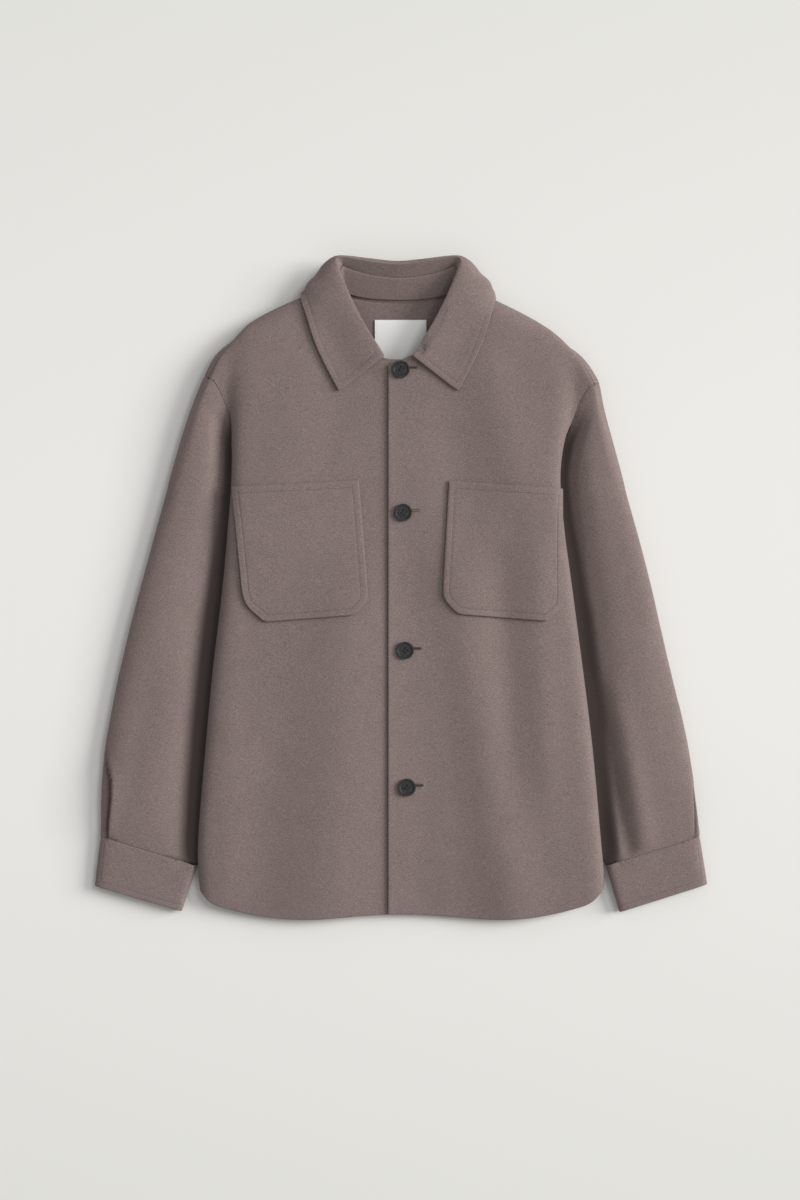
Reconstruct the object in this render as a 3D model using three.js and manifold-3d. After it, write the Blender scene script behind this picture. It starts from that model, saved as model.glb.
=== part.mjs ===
// A double-faced wool overshirt laid flat on its back: +X is the wearer's left, +Y the collar, +Z up.
import * as THREE from "three";
import { mergeVertices } from "three/addons/utils/BufferGeometryUtils.js";
import Module from "manifold-3d";

const wasm = await Module();
wasm.setup();

// Driving sizes, in millimetres.
const wall = 2;
const cuffWall = 2.6;
const labelWall = 1;
// The collar leaf covers the front this far past the shoulder seam, and lies on it outside this half width.
const leafOnFront = { past: 6, from: 20, rows: 4.2 };
const seamGap = 0.4;
const underarmGap = 1.9;
const layerGap = 0.5;
const layerLift = wall + layerGap;
const hemStart = -300;
const hemNominal = -384;
const shoulderStart = 200;
const shoulderNominal = 300;
const frontEdge = 15;
const underlap = 18;
const button = {
  radius: 10.15, thick: 4.2, rim: 2, dish: 1.1, chamfer: 1, hole: 1.1, holeOut: 2.6, turn: -33, sides: 20,
};
// The laid body's flat top ends this far in from the side fold, where the cloth starts to turn down.
const sideRound = 30;
const foldTension = 0.38;

const wool = { color: 0x7d7370, roughness: 0.95, metalness: 0 };
const horn = { color: 0x2b2b2d, roughness: 0.5, metalness: 0 };
const satin = { color: 0xe9e8e6, roughness: 0.5, metalness: 0 };

// A table's rows as objects, one value for each named column.
function table(columns, rows) {
  return rows.map((row) => Object.fromEntries(columns.map((column, i) => [column, row[i]])));
}

// The body's cross-sections. y runs from the hem (-384) to the shoulder seam (300); right and left are
// how far out the side fold lies; turn is how far the cloth has turned down there, in degrees.
const bodyRows = table(
  ["y", "right", "left", "foldZ", "topZ", "middleZ", "turn", "endRight", "endLeft", "endZ", "endTurn"],
  [
    [-384, 236, 238, 7.5, 14, 10, 90, 225, 226, 3.4, 180],
    [-345, 238.5, 238, 11, 20, 15, 90, 227, 226, 5.5, 180],
    [-290, 238, 233.5, 16, 26, 21, 90, 226, 221, 8.6, 180],
    [-190, 229, 225, 17, 28, 23, 90, 217, 213, 8.8, 180],
    [-95, 221, 213, 17, 28, 23, 90, 209, 201, 8.8, 180],
    [-4, 209, 201, 17, 28, 23, 90, 197, 189, 8.8, 180],
    [80, 202, 190.5, 17, 28, 23, 90, 190, 178.5, 8.8, 180],
    [137, 199, 187, 17.5, 28, 23.5, 90, 189, 180, 9.6, 180],
    [170, 198.5, 191, 18, 28, 24, 85, 193, 190, 11, 120],
    [200, 199, 197, 18.5, 28, 24, 62, 200, 203, 15, 50],
    [225, 200, 200, 21, 27.5, 24, 35, 208, 209, 19, 4],
    [245, 199, 199, 22.5, 27.2, 24, 22, 213, 214, 21.5, 0],
    [270, 197, 197, 24, 27, 24, 12, 219, 220, 23, 4],
    [284, 195, 194, 24.3, 25.4, 24, 8, 222, 224, 23.5, 6],
    [293, 194, 192, 23, 22, 24, 4, 224, 226, 23, 8],
    [298, 193, 190, 20.5, 17.5, 24, 0, 225, 227, 22.5, 8],
    [300, 193, 190, 17, 13, 24, -4, 225, 227, 22, 8],
  ],
);

// The hem line and, for each side, the neckline and shoulder seam as seen from above.
const hemLine = [
  { x: 0, y: -382.5 }, { x: 60, y: -386 }, { x: 110, y: -390 }, { x: 165, y: -386 },
  { x: 205, y: -376.5 }, { x: 226, y: -368 }, { x: 239, y: -352 },
];
const topLine = {
  right: [
    { x: -18, y: 267 }, { x: 12, y: 267.5 }, { x: 26, y: 268 }, { x: 45, y: 287 }, { x: 58, y: 311 },
    { x: 70, y: 337 }, { x: 78, y: 356 }, { x: 98, y: 348.5 }, { x: 116, y: 341 }, { x: 130, y: 336 },
    { x: 156, y: 324 }, { x: 180, y: 309 }, { x: 199, y: 288 }, { x: 216, y: 266 }, { x: 225, y: 244 },
  ],
  left: [
    { x: -15, y: 260 }, { x: -9, y: 269 }, { x: 3, y: 271 }, { x: 16, y: 269 }, { x: 39, y: 286 },
    { x: 52, y: 310 }, { x: 64, y: 334 }, { x: 74, y: 355 }, { x: 98, y: 343.5 }, { x: 112, y: 336 },
    { x: 126, y: 331 }, { x: 156, y: 315 }, { x: 176, y: 302 }, { x: 192, y: 288 }, { x: 210, y: 268 },
    { x: 227, y: 237 },
  ],
};

// The sleeves' outer edges as seen from above, from the shoulder's end to the cuff seam.
const sleeveEdge = [
  { y: 243, right: 236, left: 230 }, { y: 219, right: 246, left: 234 }, { y: 172, right: 260.5, left: 248 },
  { y: 125, right: 273, left: 261 }, { y: 32, right: 298, left: 287 }, { y: -62, right: 323, left: 309 },
  { y: -156, right: 342, left: 331 }, { y: -215, right: 352, left: 343 }, { y: -291, right: 353, left: 351 },
];
const sleeveTuck = [
  { y: 104, right: 187, left: 176 }, { y: 60, right: 180, left: 169 }, { y: -60, right: 190, left: 180 },
  { y: -160, right: 205, left: 197 }, { y: -250, right: 220, left: 215 }, { y: -326, right: 239, left: 240 },
];
const cuffEnd = {
  right: { outX: 360, outY: -350, inX: 257, inY: -380 },
  left: { outX: 360, outY: -348, inX: 256, inY: -381 },
};
const sleeve = {
  underarmZ: 5.4, underarmDrop: 3, top: 21, topAtCuff: 15.5, edgeZ: 6.2, middleZ: 9.5, rise: 44,
  outerRound: 26, underRound: 15, tuckRound: 6, rings: 14, blend: 5, spread: 1.12,
};
// Across a body row, the sleeve runs from the shoulder's end to the cuff seam at these two heights.
const sleeveRun = { outerTop: 243, outerEnd: -291, innerTop: 104, innerEnd: -326 };
const cuff = { topZ: 15, endZ: 12.5, middleZ: 7, outerRound: 12, rings: 4 };
const back = {
  shoulderRoll: 28, wrap: 11, wrapFrom: 178, tuckIn: 26, floorIn: 62, neckLift: 3, neckRun: 18, rollLead: 0.6,
};
const closure = { flatTo: 25, fadeOver: 50 };
const pocketGap = 1.4;
const leafLift = 1.5;
const label = { left: -31, right: 30, top: 315, bottom: 262, gap: 0.8 };

// The collar, from its front end round to the middle of the back, x outwards from its own middle line:
// the roll line, the way the leaf falls there, the neck seam, the stand's top, and the leaf's outer edge
// and how far it has turned.
const collarMiddle = -3;
const collarRows = table(
  [
    "x", "y", "up", "fall", "neckX", "neckY", "neckUp",
    "seamIn", "seamUp", "edgeX", "edgeY", "edgeUp", "turn", "under",
  ],
  [
    [15.5, 271, 31, -37, 20, 270, 27.2, -3.4, 28.2, 69.5, 229.5, 27, 0, 22],
    [28, 291, 31, -27, 38, 289, 25, -3.6, 27.4, 86, 260, 27, 0, 21],
    [41, 312, 32, -22, 51, 311, 24.4, -3.8, 28, 99, 289, 27, 0, 20],
    [55, 340, 31.5, -20, 63, 338, 22, -3.6, 27.2, 108, 318, 29, 12, 18],
    [66, 366, 30, -16, 72, 359, 17.5, -2, 25, 116.5, 345.2, 14.5, 75, 9],
    [70, 379, 28, 14, 67, 351, 11, 4, 21.5, 104, 336, 0, 168, 22],
    [66, 384, 25.5, 60, 59, 343, 7.2, 8, 19, 82, 327, 0, 180, 42],
    [36, 378, 24, 84, 34, 337.8, 6, 9.5, 17.5, 46, 325, 0, 180, 56],
    [0, 373.5, 23.5, 90, 0, 336.5, 6, 9.5, 17, 0, 324, 0, 180, 56],
  ],
);
const collarSteps = { perRow: 2, over: 3, fall: 6, stand: 3, crestOut: 3.5, crestUp: 2.2, spread: 13 };

// Pocket corners as seen from above, x outwards: the top edge, the ends of the sides, and the cut corners'
// lower ends.
const pockets = {
  right: {
    topIn: [49.5, 125.5], topOut: [197, 118],
    sideIn: [38, -14], sideOut: [184.5, -17],
    lowIn: [54, -32], lowOut: [159, -40],
  },
  left: {
    topIn: [56, 125], topOut: [187, 116],
    sideIn: [48, -12], sideOut: [190, -22],
    lowIn: [66, -31], lowOut: [170.5, -39],
  },
};
// The pockets' columns, closer together where they turn over the side fold.
const pocketShares = [0, 0.14, 0.3, 0.46, 0.62, 0.76, 0.85, 0.9, 0.935, 0.968, 1];
const buttonPlaces = [{ x: 0, y: 255 }, { x: 2.6, y: 88 }, { x: 4.8, y: -73 }, { x: 7, y: -233 }];

function smooth(t) {
  const held = Math.min(1, Math.max(0, t));
  return held * held * (3 - 2 * held);
}

function mix(a, b, t) {
  return a + (b - a) * t;
}

// A smooth value at `at` between the rows of a table, running along its column `along`.
function between(rows, along, column, at) {
  const rising = rows[rows.length - 1][along] > rows[0][along];
  const list = rising ? rows : [...rows].reverse();
  if (at <= list[0][along]) return list[0][column];
  let i = 1;
  while (i < list.length - 1 && at > list[i][along]) i += 1;
  const a = list[i - 1];
  const b = list[i];
  if (at >= b[along]) return b[column];
  const before = list[i - 2] ?? a;
  const after = list[i + 1] ?? b;
  const span = b[along] - a[along];
  const slopeA = (b[column] - before[column]) / (b[along] - before[along]);
  const slopeB = (after[column] - a[column]) / (after[along] - a[along]);
  const t = (at - a[along]) / span;
  const t2 = t * t;
  const t3 = t2 * t;
  return (2 * t3 - 3 * t2 + 1) * a[column] + (t3 - 2 * t2 + t) * span * slopeA
    + (3 * t2 - 2 * t3) * b[column] + (t3 - t2) * span * slopeB;
}

function straightBetween(rows, along, column, at) {
  const i = Math.max(1, rows.findIndex((row) => row[along] >= at));
  const b = at > rows[rows.length - 1][along] ? rows[rows.length - 1] : rows[i];
  const a = rows[Math.max(0, rows.indexOf(b) - 1)];
  const t = Math.min(1, Math.max(0, (at - a[along]) / (b[along] - a[along])));
  return mix(a[column], b[column], t);
}

// The real height up the body of a nominal row at x: rows bend to the hem line and to the top line.
function rowY(side, nominal, x) {
  if (nominal < hemStart) {
    const part = (hemStart - nominal) / (hemStart - hemNominal);
    return mix(hemStart, between(hemLine, "x", "y", Math.abs(x)), part);
  }
  if (nominal > shoulderStart) {
    const part = (nominal - shoulderStart) / (shoulderNominal - shoulderStart);
    return mix(shoulderStart, straightBetween(topLine[side], "x", "y", x), part);
  }
  return nominal;
}

// One section of a front, from the centre line over the side fold to its seam, as [x, z] pairs with x
// outwards.
const flatSteps = 8;
const foldSteps = 4;
const tuckSteps = 3;
function sectionAt(side, nominal, startX) {
  const read = (column) => between(bodyRows, "y", column, nominal);
  const fold = new THREE.Vector2(read(side), read("foldZ"));
  const end = new THREE.Vector2(read(side === "right" ? "endRight" : "endLeft"), read("endZ"));
  const top = new THREE.Vector2(fold.x - sideRound, read("topZ"));
  const way = (degrees) => {
    const turn = THREE.MathUtils.degToRad(degrees);
    return new THREE.Vector2(Math.cos(turn), -Math.sin(turn));
  };
  const bend = (a, wayA, b, wayB) => {
    const reach = a.distanceTo(b) * foldTension;
    const leave = a.clone().addScaledVector(wayA, reach);
    const arrive = b.clone().addScaledVector(wayB, -reach);
    return new THREE.CubicBezierCurve(a, leave, arrive, b);
  };
  const points = [];
  for (let i = 0; i < flatSteps; i += 1) {
    const x = mix(startX, top.x, i / flatSteps);
    points.push([x, mix(read("middleZ"), top.y, smooth(Math.max(0, x) / top.x))]);
  }
  const over = bend(top, way(0), fold, way(read("turn")));
  for (let i = 0; i < foldSteps; i += 1) {
    const p = over.getPoint(i / foldSteps);
    points.push([p.x, p.y]);
  }
  const under = bend(fold, way(read("turn")), end, way(read("endTurn")));
  for (let i = 0; i <= tuckSteps; i += 1) {
    const p = under.getPoint(i / tuckSteps);
    points.push([p.x, p.y]);
  }
  return points;
}

// The outside of a front, as rows of points; the left front lies over the right one along the closure.
const frontRows = [
  -384, -372, -345, -300, -240, -170, -95, -20, 50, 108, 117, 137, 160, 180, 200,
  225, 245, 270, 284, 293, 298, 300,
];
function closureLift(side, x) {
  return side === "left" ? layerLift * (1 - smooth((x - closure.flatTo) / closure.fadeOver)) : 0;
}

function frontPoint(side, x, z, nominal) {
  const sign = side === "right" ? -1 : 1;
  return new THREE.Vector3(sign * x, rowY(side, nominal, x), z + closureLift(side, x));
}

function frontGrid(side) {
  const startX = side === "right" ? -underlap : -frontEdge;
  return frontRows.map((nominal) => sectionAt(side, nominal, startX)
    .map(([x, z]) => frontPoint(side, x, z, nominal)));
}

// The height of the fronts' outside at a place seen from above, x outwards from the centre line.
function frontHeight(side, x, y) {
  let nominal = y;
  if (y > shoulderStart) {
    const top = straightBetween(topLine[side], "x", "y", x);
    nominal = mix(shoulderStart, shoulderNominal, Math.min(1, (y - shoulderStart) / (top - shoulderStart)));
  }
  const fold = between(bodyRows, "y", side, nominal);
  const top = fold - sideRound;
  const topZ = between(bodyRows, "y", "topZ", nominal);
  const middleZ = between(bodyRows, "y", "middleZ", nominal);
  return mix(middleZ, topZ, smooth(Math.max(0, x) / top)) + closureLift(side, x);
}

// Turns a grid of outside points into a closed wall; `wraps` closes each row on itself.
function clothSolid(grid, thick, { wraps = false, flip = false, lastNormals = [] } = {}) {
  const rows = grid.length;
  const columns = grid[0].length;
  const at = (r, c) => grid[Math.min(rows - 1, Math.max(0, r))][
    wraps ? (c + columns) % columns : Math.min(columns - 1, Math.max(0, c))];
  const outside = [];
  const inside = [];
  for (let r = 0; r < rows; r += 1) {
    for (let c = 0; c < columns; c += 1) {
      const along = at(r + 1, c).clone().sub(at(r - 1, c));
      const across = at(r, c + 1).clone().sub(at(r, c - 1));
      const normal = across.cross(along).normalize().multiplyScalar(flip ? -1 : 1);
      if (r === rows - 1 && lastNormals[c]) normal.copy(lastNormals[c]);
      outside.push(grid[r][c].clone());
      inside.push(grid[r][c].clone().addScaledVector(normal, -thick));
    }
  }
  const count = rows * columns;
  const positions = [...outside, ...inside].flatMap((p) => [p.x, p.y, p.z]);
  const faces = [];
  const quad = (a, b, c, d) => {
    if (flip) faces.push(a, c, b, a, d, c);
    else faces.push(a, b, c, a, c, d);
  };
  const spans = wraps ? columns : columns - 1;
  for (let r = 0; r < rows - 1; r += 1) {
    for (let c = 0; c < spans; c += 1) {
      const a = r * columns + c;
      const b = r * columns + ((c + 1) % columns);
      quad(a, b, b + columns, a + columns);
      quad(a + count, a + columns + count, b + columns + count, b + count);
    }
  }
  const last = (rows - 1) * columns;
  for (let c = 0; c < spans; c += 1) {
    const next = (c + 1) % columns;
    quad(c, c + count, next + count, next);
    quad(last + next, last + next + count, last + c + count, last + c);
  }
  if (!wraps) {
    for (let r = 0; r < rows - 1; r += 1) {
      const a = r * columns;
      const b = a + columns;
      quad(a, b, b + count, a + count);
      quad(b + columns - 1, a + columns - 1, a + columns - 1 + count, b + columns - 1 + count);
    }
  }
  const geometry = new THREE.BufferGeometry();
  geometry.setAttribute("position", new THREE.Float32BufferAttribute(positions, 3));
  geometry.setIndex(faces);
  return geometry;
}

// Draws the last point of each line back from a seam, so that the two cloths stay clear of each other.
function trimEnd(line, gap) {
  const last = line.length - 1;
  const way = line[last - 1].clone().sub(line[last]).normalize();
  line[last] = line[last].clone().addScaledVector(way, gap);
  return line;
}

function trimRows(grid, gap) {
  const last = grid.length - 1;
  grid[last].forEach((point, c) => {
    const way = grid[last - 1][c].clone().sub(point).normalize();
    grid[last][c] = point.clone().addScaledVector(way, gap);
  });
  return grid;
}

function copyGrid(grid) {
  return grid.map((line) => line.map((point) => point.clone()));
}

const fronts = { right: frontGrid("right"), left: frontGrid("left") };

// The back, half by half: it lies on the surface, rises over the tucked sleeve and rolls up to the shoulders.
const underarmRow = frontRows.indexOf(108);
const shoulderRow = frontRows.indexOf(shoulderStart);
const footRow = frontRows.indexOf(270);
const neckBack = [
  { x: 0, y: 335, up: 3 }, { x: 30, y: 336, up: 3.4 }, { x: 57, y: 341, up: 6 }, { x: 67, y: 348, up: 9 },
];
const rollSteps = 3;

function signOf(side) {
  return side === "right" ? -1 : 1;
}

// The top boundary of one half of the back: the neck seam, then the front's own shoulder seam points.
function backTop(side) {
  const neck = neckBack.map(({ x, y, up }) => new THREE.Vector3(signOf(side) * x + collarMiddle, y, up));
  return [...neck, ...fronts[side][fronts[side].length - 1].slice(flatSteps / 2)];
}

// For a point of the shoulder seam: the way out of the garment as seen from above, and how far the back
// wraps over there.
function shoulderWay(top, c) {
  const a = top[Math.max(neckBack.length, c - 1)];
  const b = top[Math.min(top.length - 1, c + 1)];
  const way = new THREE.Vector3(Math.abs(b.y - a.y), Math.abs(b.x - a.x), 0).normalize();
  way.x *= Math.sign(top[c].x);
  const wrap = back.wrap * smooth((Math.abs(top[c].x) - back.wrapFrom) / 40);
  return { way, wrap };
}

// The cloth's outward direction at the shoulder seam, shared by the front and the back.
const seamRise = { neck: 16, end: 80 };
function shoulderNormals(side) {
  const top = backTop(side);
  return top.map((_, c) => {
    if (c < neckBack.length) return null;
    const { way, wrap } = shoulderWay(top, c);
    const rise = THREE.MathUtils.degToRad(mix(seamRise.neck, seamRise.end, wrap / back.wrap));
    return way.multiplyScalar(Math.cos(rise)).setZ(Math.sin(rise));
  });
}

function backFoot(top, c) {
  const point = top[c];
  if (c < neckBack.length) return new THREE.Vector3(point.x, point.y - back.neckRun, back.neckLift);
  const { way, wrap } = shoulderWay(top, c);
  const lift = back.neckLift * (1 - smooth((Math.abs(point.x) - 115) / 40));
  way.x *= smooth((Math.abs(point.x) - 80) / 60);
  const foot = point.clone().addScaledVector(way, wrap - back.shoulderRoll);
  foot.z = lift;
  return foot;
}

const armholeFall = { from: 0.35, steepness: 3, bow: 1.3, out: 5 };
function backArmhole(side, nominal) {
  const part = (nominal - frontRows[underarmRow]) / (shoulderStart - frontRows[underarmRow]);
  const low = fronts[side][underarmRow][fronts[side][underarmRow].length - 1];
  const high = between(bodyRows, "y", side, shoulderStart) + armholeFall.out;
  return new THREE.Vector3(
    signOf(side) * mix(Math.abs(low.x), high, part ** armholeFall.bow),
    nominal,
    part > 0 ? low.z * (1 - smooth(armholeFall.from + part * armholeFall.steepness)) : low.z,
  );
}

function backHalf(side) {
  const top = backTop(side);
  const feet = top.map((point, c) => backFoot(top, c));
  const reach = Math.abs(top[top.length - 1].x);
  const grid = [];
  for (let r = 0; r <= shoulderRow; r += 1) {
    const nominal = frontRows[r];
    const fold = between(bodyRows, "y", side, nominal);
    const end = r <= underarmRow ? fronts[side][r][fronts[side][r].length - 1] : backArmhole(side, nominal);
    grid.push(feet.map((foot, c) => {
      const fromMiddle = Math.abs(top[c].x - collarMiddle * (1 - c / feet.length));
      const x = Math.abs(end.x) * (fromMiddle / reach);
      const held = c === 0 ? 0 : Math.min(x, Math.abs(end.x));
      const full = c === feet.length - 1 ? Math.abs(end.x) : held;
      const rise = (full - (fold - back.floorIn)) / (back.floorIn - back.tuckIn);
      const reached = (Math.abs(end.x) - fold + back.floorIn) / (back.floorIn - back.tuckIn);
      const share = smooth(rise / Math.max(1, reached));
      const nearEnd = smooth((full - Math.abs(end.x) + 30) / 30);
      const z = r <= underarmRow ? end.z * Math.max(smooth(rise), share) : end.z * nearEnd;
      const height = c === feet.length - 1 ? end.z : z;
      return new THREE.Vector3(signOf(side) * full, rowY(side, nominal, full), height);
    }));
  }
  const flat = grid[shoulderRow];
  for (let r = shoulderRow + 1; r <= footRow; r += 1) {
    const part = (frontRows[r] - shoulderStart) / (frontRows[footRow] - shoulderStart);
    grid.push(feet.map((foot, c) => flat[c].clone().lerp(foot, part).setZ(foot.z * smooth(part))));
  }
  for (let step = 1; step <= rollSteps; step += 1) {
    grid.push(top.map((point, c) => {
      const foot = feet[c];
      if (c < neckBack.length) {
        const part = step / rollSteps;
        return foot.clone().lerp(point, part).setZ(mix(foot.z, point.z, part * part));
      }
      const { way, wrap } = shoulderWay(top, c);
      const turn = THREE.MathUtils.degToRad(mix(90, 168, wrap / back.wrap));
      const arrive = way.clone().multiplyScalar(Math.cos(turn)).setZ(Math.sin(turn));
      const leave = foot.clone().addScaledVector(way, back.shoulderRoll * back.rollLead);
      const reached = point.clone().addScaledVector(arrive, -mix(7, 17, wrap / back.wrap));
      return new THREE.CubicBezierCurve3(foot, leave, reached, point.clone()).getPoint(step / rollSteps);
    }));
  }
  return grid;
}

const backHalves = { right: backHalf("right"), left: backHalf("left") };

function backGrid() {
  return backHalves.right.map((line, r) => [
    ...[...line].reverse(),
    ...backHalves.left[r].slice(1),
  ]);
}

// The armhole, once round: up the front from the underarm, over the shoulder's end and down the back.
function armholeLoop(side) {
  const up = fronts[side].slice(underarmRow).map((line) => line[line.length - 1]);
  const down = backHalves[side].slice(underarmRow + 1, -1).map((line) => line[line.length - 1]).reverse();
  return [...up, ...down].map((point) => point.clone());
}

// A flattened tube's section between its inner and outer edge: share across, and whether it is on top.
function tubeStation(i, topCount, count) {
  if (i <= topCount) return { share: 0.5 - 0.5 * Math.cos((Math.PI * i) / topCount), upper: true };
  return { share: 0.5 + 0.5 * Math.cos((Math.PI * (i - topCount)) / (count - topCount)), upper: false };
}

function roundedHeight(upper, topZ, middleZ, fromOuter, fromInner, outerRound, underRound, innerZ) {
  const bulge = (distance, round) => Math.sqrt(1 - (1 - Math.min(1, distance / round)) ** 2);
  const outer = upper
    ? mix(middleZ, topZ, bulge(fromOuter, outerRound))
    : mix(middleZ, 0, bulge(fromOuter, underRound));
  const inner = bulge(fromInner, sleeve.tuckRound);
  return mix(innerZ, outer, inner);
}

function sleeveEnds(side, part) {
  const outerY = mix(sleeveRun.outerTop, sleeveRun.outerEnd, part);
  const innerY = mix(sleeveRun.innerTop, sleeveRun.innerEnd, part);
  return {
    outer: new THREE.Vector2(between(sleeveEdge, "y", side, outerY), outerY),
    inner: new THREE.Vector2(between(sleeveTuck, "y", side, innerY), innerY),
  };
}

// How far across the sleeve each point of the armhole lies, from the underarm to the shoulder's end.
function armholeShares(side, loop) {
  const { outer, inner } = sleeveEnds(side, 0);
  const way = outer.clone().sub(inner);
  return loop.map((point) => {
    const from = new THREE.Vector2(Math.abs(point.x), point.y).sub(inner);
    return Math.min(1, Math.max(0, from.dot(way) / way.lengthSq()));
  });
}

function sleeveRing(side, part, shares, topCount) {
  const loopCount = shares.length;
  const { outer, inner } = sleeveEnds(side, part);
  const width = outer.distanceTo(inner);
  const crown = mix(sleeve.top, sleeve.topAtCuff, smooth((part - 0.93) / 0.07));
  const ring = [];
  for (let i = 0; i < loopCount; i += 1) {
    const { share: even, upper } = tubeStation(i, topCount, loopCount);
    const share = mix(shares[i], even, smooth(part / 0.3));
    const place = inner.clone().lerp(outer, share);
    const outside = place.x - between(bodyRows, "y", side, Math.min(shoulderStart, place.y));
    const cuffward = smooth((part - 0.8) / 0.2);
    const low = mix(sleeve.edgeZ, crown * 0.8, cuffward);
    const topZ = mix(low, crown, smooth((outside - 1) / sleeve.rise));
    const z = roundedHeight(
      upper, topZ, sleeve.middleZ, width * (1 - share), width * share,
      sleeve.outerRound, sleeve.underRound, mix(3.1, 6, cuffward),
    );
    ring.push(new THREE.Vector3(signOf(side) * place.x, place.y, z));
  }
  return ring;
}

// Keeps the sleeve's upper side under the body's fold.
const foldClear = { gap: 1.5, rise: 14, over: 22 };
function clearOfFold(side, point) {
  if (point.y > shoulderStart) return point;
  const outside = Math.abs(point.x) - between(bodyRows, "y", side, point.y);
  const rise = foldClear.rise * smooth((outside - 1) / foldClear.over);
  const limit = between(bodyRows, "y", "endZ", point.y) - foldClear.gap + rise;
  return point.setZ(Math.min(point.z, limit));
}

function sleeveGrid(side) {
  const loop = armholeLoop(side);
  const topCount = fronts[side].length - underarmRow;
  const shares = armholeShares(side, loop);
  const straight = sleeveRing(side, 0, shares, topCount);
  const rings = [loop];
  for (let j = 1; j <= sleeve.rings; j += 1) {
    const part = (j / sleeve.rings) ** sleeve.spread;
    const hold = Math.max(0, 1 - j / sleeve.blend) ** 1.6;
    rings.push(sleeveRing(side, part, shares, topCount).map((point, i) => {
      const shift = loop[i].clone().sub(straight[i]).multiplyScalar(hold);
      return clearOfFold(side, point.add(shift));
    }));
  }
  loop[0].add(new THREE.Vector3(0, -sleeve.underarmDrop, sleeve.underarmZ - loop[0].z));
  rings[0] = loop.map((point, i) => {
    if (i > 0 && i < topCount) point.z -= underarmGap * (1 - smooth((point.y - 150) / 50));
    const way = rings[1][i].clone().sub(point).normalize();
    return point.addScaledVector(way, seamGap * 2);
  });
  return rings;
}

const sleeves = { right: sleeveGrid("right"), left: sleeveGrid("left") };

function cuffGrid(side) {
  const last = sleeves[side][sleeves[side].length - 1];
  const topCount = fronts[side].length - underarmRow;
  const end = cuffEnd[side];
  const rings = [];
  for (let j = 0; j < cuff.rings; j += 1) {
    const part = j / (cuff.rings - 1);
    const { outerEnd, innerEnd } = sleeveRun;
    const outer = new THREE.Vector2(between(sleeveEdge, "y", side, outerEnd), outerEnd - seamGap * 2)
      .lerp(new THREE.Vector2(end.outX, end.outY), part);
    const inner = new THREE.Vector2(between(sleeveTuck, "y", side, innerEnd), innerEnd - seamGap * 2)
      .lerp(new THREE.Vector2(end.inX, end.inY), part);
    const width = outer.distanceTo(inner);
    rings.push(last.map((_, i) => {
      const { share, upper } = tubeStation(i, topCount, last.length);
      const place = inner.clone().lerp(outer, share);
      const z = roundedHeight(
        upper, mix(cuff.topZ, cuff.endZ, part), cuff.middleZ, width * (1 - share), width * share,
        cuff.outerRound, cuff.outerRound, cuff.middleZ,
      );
      return new THREE.Vector3(signOf(side) * place.x, place.y, z);
    }));
  }
  return rings;
}

// The collar's sections, from the front end on one side, round the back, to the other front end.
function collarSection(side, at) {
  const rows = collarRows.map((row, i) => ({ ...row, i }));
  const read = (column) => between(rows, "i", column, at);
  const sign = signOf(side);
  const turned = THREE.MathUtils.degToRad(read("fall"));
  const out = new THREE.Vector3(sign * Math.cos(turned), Math.sin(turned), 0);
  const place = (x, y, z) => new THREE.Vector3(sign * x + collarMiddle, y, z);
  const roll = place(read("x"), read("y"), read("up"));
  const neck = place(read("neckX"), read("neckY"), read("neckUp"));
  const seam = roll.clone().addScaledVector(out, -read("seamIn")).setZ(read("seamUp"));
  const crest = roll.clone().addScaledVector(out, collarSteps.crestOut).setZ(roll.z + collarSteps.crestUp);
  const edge = place(read("edgeX"), read("edgeY"), read("edgeUp"));
  const turn = THREE.MathUtils.degToRad(read("turn"));
  const round = Math.min(1, read("turn") / 180);
  const third = crest.distanceTo(edge) / 3;
  const leave = crest.clone().addScaledVector(out, mix(third, collarSteps.spread, round));
  const arriving = out.clone().multiplyScalar(Math.cos(turn)).setZ(-Math.sin(turn));
  const arrive = edge.clone().addScaledVector(arriving, -read("under"));
  const fall = new THREE.CubicBezierCurve3(crest, leave, arrive, edge);
  const over = new THREE.CatmullRomCurve3([seam, roll, crest]);
  const leaf = [];
  for (let i = 0; i < collarSteps.over; i += 1) leaf.push(over.getPoint(i / collarSteps.over));
  for (let i = 0; i <= collarSteps.fall; i += 1) leaf.push(fall.getPoint(i / collarSteps.fall));
  leaf.forEach((point) => {
    point.z = Math.max(point.z, 0);
    const outwards = Math.abs(point.x);
    const seamY = straightBetween(topLine[side], "x", "y", outwards);
    if (at < leafOnFront.rows && point.y < seamY + leafOnFront.past && outwards > leafOnFront.from) {
      point.z = Math.max(point.z, frontHeight(side, outwards, point.y) + layerLift + leafLift);
    }
  });
  const stand = [];
  for (let i = 0; i <= collarSteps.stand; i += 1) {
    const part = i / collarSteps.stand;
    stand.push(neck.clone().lerp(seam, mix(0.07, 0.95, part)));
  }
  return { leaf, stand };
}

function collarSections() {
  const last = collarRows.length - 1;
  const count = last * collarSteps.perRow;
  const sections = [];
  for (let i = 0; i <= count; i += 1) sections.push(collarSection("right", i / collarSteps.perRow));
  for (let i = count - 1; i >= 0; i -= 1) sections.push(collarSection("left", i / collarSteps.perRow));
  return sections;
}

// A point of a front's outside under a place seen from above.
function pointOnFront(side, x, y) {
  const section = sectionAt(side, y, 0);
  const fold = between(bodyRows, "y", side, y);
  const wanted = Math.min(x, fold - 0.05);
  let i = 1;
  while (i < flatSteps + foldSteps && section[i][0] < wanted) i += 1;
  const [ax, az] = section[i - 1];
  const [bx, bz] = section[i];
  const part = (wanted - ax) / (bx - ax);
  return new THREE.Vector3(signOf(side) * wanted, y, mix(az, bz, part) + closureLift(side, wanted));
}

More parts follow.
